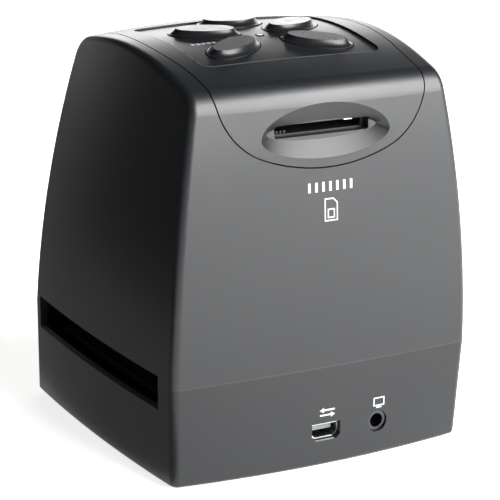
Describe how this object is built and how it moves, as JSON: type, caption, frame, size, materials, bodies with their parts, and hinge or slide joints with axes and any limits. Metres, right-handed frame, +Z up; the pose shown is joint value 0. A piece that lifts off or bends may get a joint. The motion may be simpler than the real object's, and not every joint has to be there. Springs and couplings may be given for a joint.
{
  "type": "film negative scanner",
  "caption": "Desktop scanner for film negatives and slides, with push keys on top, a screen in front, a film slot through its base, and a card slot and sockets at the rear",
  "frame": {"origin": "On the table, under the middle of the body, between the four rubber feet", "axes": "+Z up, +Y out of the rear face that holds the card slot and the sockets, -Y out of the screen, X along the film slot"},
  "size_m": [0.0868, 0.079, 0.101],
  "materials": {
    "casing": "satin moulded ABS, dark charcoal, very fine even texture",
    "button": "glossy moulded keys with flat matte tops",
    "rubber": "matt black rubber",
    "steel": "plain steel screws, shield and spring",
    "plated_steel": "bright nickel plate on the sockets",
    "clear_window": "clear acrylic over the display",
    "lcd": "dark display panel",
    "inner_plastic": "black moulded plastic",
    "white_plastic": "white moulded plastic",
    "clear_plastic": "clear moulded plastic",
    "circuit_board": "green glass-epoxy board",
    "chip": "black epoxy packages",
    "lens_glass": "polished glass",
    "contact_gold": "gold-plated contacts",
    "socket_plastic": "light grey socket tongue",
    "cable": "amber flat cable"
  },
  "bodies": {
    "body": {"av_jack": "inner_plastic", "av_jack_ring": "plated_steel", "backlight_board": "circuit_board", "backlight_leds": "clear_plastic", "base_screws": "steel", "base_shell": "casing", "board_chips": "chip", "card_board": "circuit_board", "card_contacts": "contact_gold", "card_screws": "steel", "card_shield": "steel", "card_socket": "inner_plastic", "detent_plug": "inner_plastic", "detent_spring": "steel", "diffuser": "white_plastic", "film_gate_lower": "inner_plastic", "film_gate_upper": "inner_plastic", "image_sensor": "chip", "infrared_filter": "lens_glass", "io_board": "circuit_board", "io_ribbon": "cable", "io_screws": "steel", "keypad_board": "circuit_board", "keypad_ribbon": "cable", "keypad_screws": "steel", "lcd_carrier": "inner_plastic", "lcd_module": "lcd", "lens_barrel": "inner_plastic", "lens_elements": "lens_glass", "lens_holder": "inner_plastic", "lens_tunnel": "inner_plastic", "light_box": "white_plastic", "light_pipe": "clear_plastic", "main_board": "circuit_board", "main_screws": "steel", "rubber_feet": "rubber", "screen_frame": "casing", "screen_window": "clear_window", "sensor_board": "circuit_board", "sensor_ribbon": "cable", "status_led": "clear_plastic", "switch_bodies": "inner_plastic", "top_cover": "casing", "upper_shell": "casing", "usb_shell": "plated_steel", "usb_tongue": "socket_plastic"},
    "key_front": {"button_front": "button", "switch_plunger_front": "inner_plastic"},
    "key_right": {"button_right": "button", "switch_plunger_right": "inner_plastic"},
    "key_left": {"button_left": "button", "switch_plunger_left": "inner_plastic"},
    "key_rear_right": {"button_rear_right": "button", "switch_plunger_rear_right": "inner_plastic"},
    "key_rear_left": {"button_rear_left": "button", "switch_plunger_rear_left": "inner_plastic"},
    "detent": {"detent_plunger": "white_plastic"}
  },
  "joints": [
    {"name": "key_front_press", "type": "slide", "parent": "body", "child": "key_front", "axis": [0, 0, -1], "range_m": [0, 0.0007], "stiffness_N_per_m": 400, "springref_m": -0.0002},
    {"name": "key_right_press", "type": "slide", "parent": "body", "child": "key_right", "axis": [0, 0, -1], "range_m": [0, 0.0007], "stiffness_N_per_m": 400, "springref_m": -0.0002},
    {"name": "key_left_press", "type": "slide", "parent": "body", "child": "key_left", "axis": [0, 0, -1], "range_m": [0, 0.0007], "stiffness_N_per_m": 400, "springref_m": -0.0002},
    {"name": "key_rear_right_press", "type": "slide", "parent": "body", "child": "key_rear_right", "axis": [0, 0, -1], "range_m": [0, 0.0007], "stiffness_N_per_m": 400, "springref_m": -0.0002},
    {"name": "key_rear_left_press", "type": "slide", "parent": "body", "child": "key_rear_left", "axis": [0, 0, -1], "range_m": [0, 0.0007], "stiffness_N_per_m": 400, "springref_m": -0.0002},
    {"name": "detent_slide", "type": "slide", "parent": "body", "child": "detent", "axis": [0, 0, -1], "range_m": [0, 0.0008], "stiffness_N_per_m": 300, "springref_m": -0.0002, "deforming": ["detent_spring"]}
  ]
}
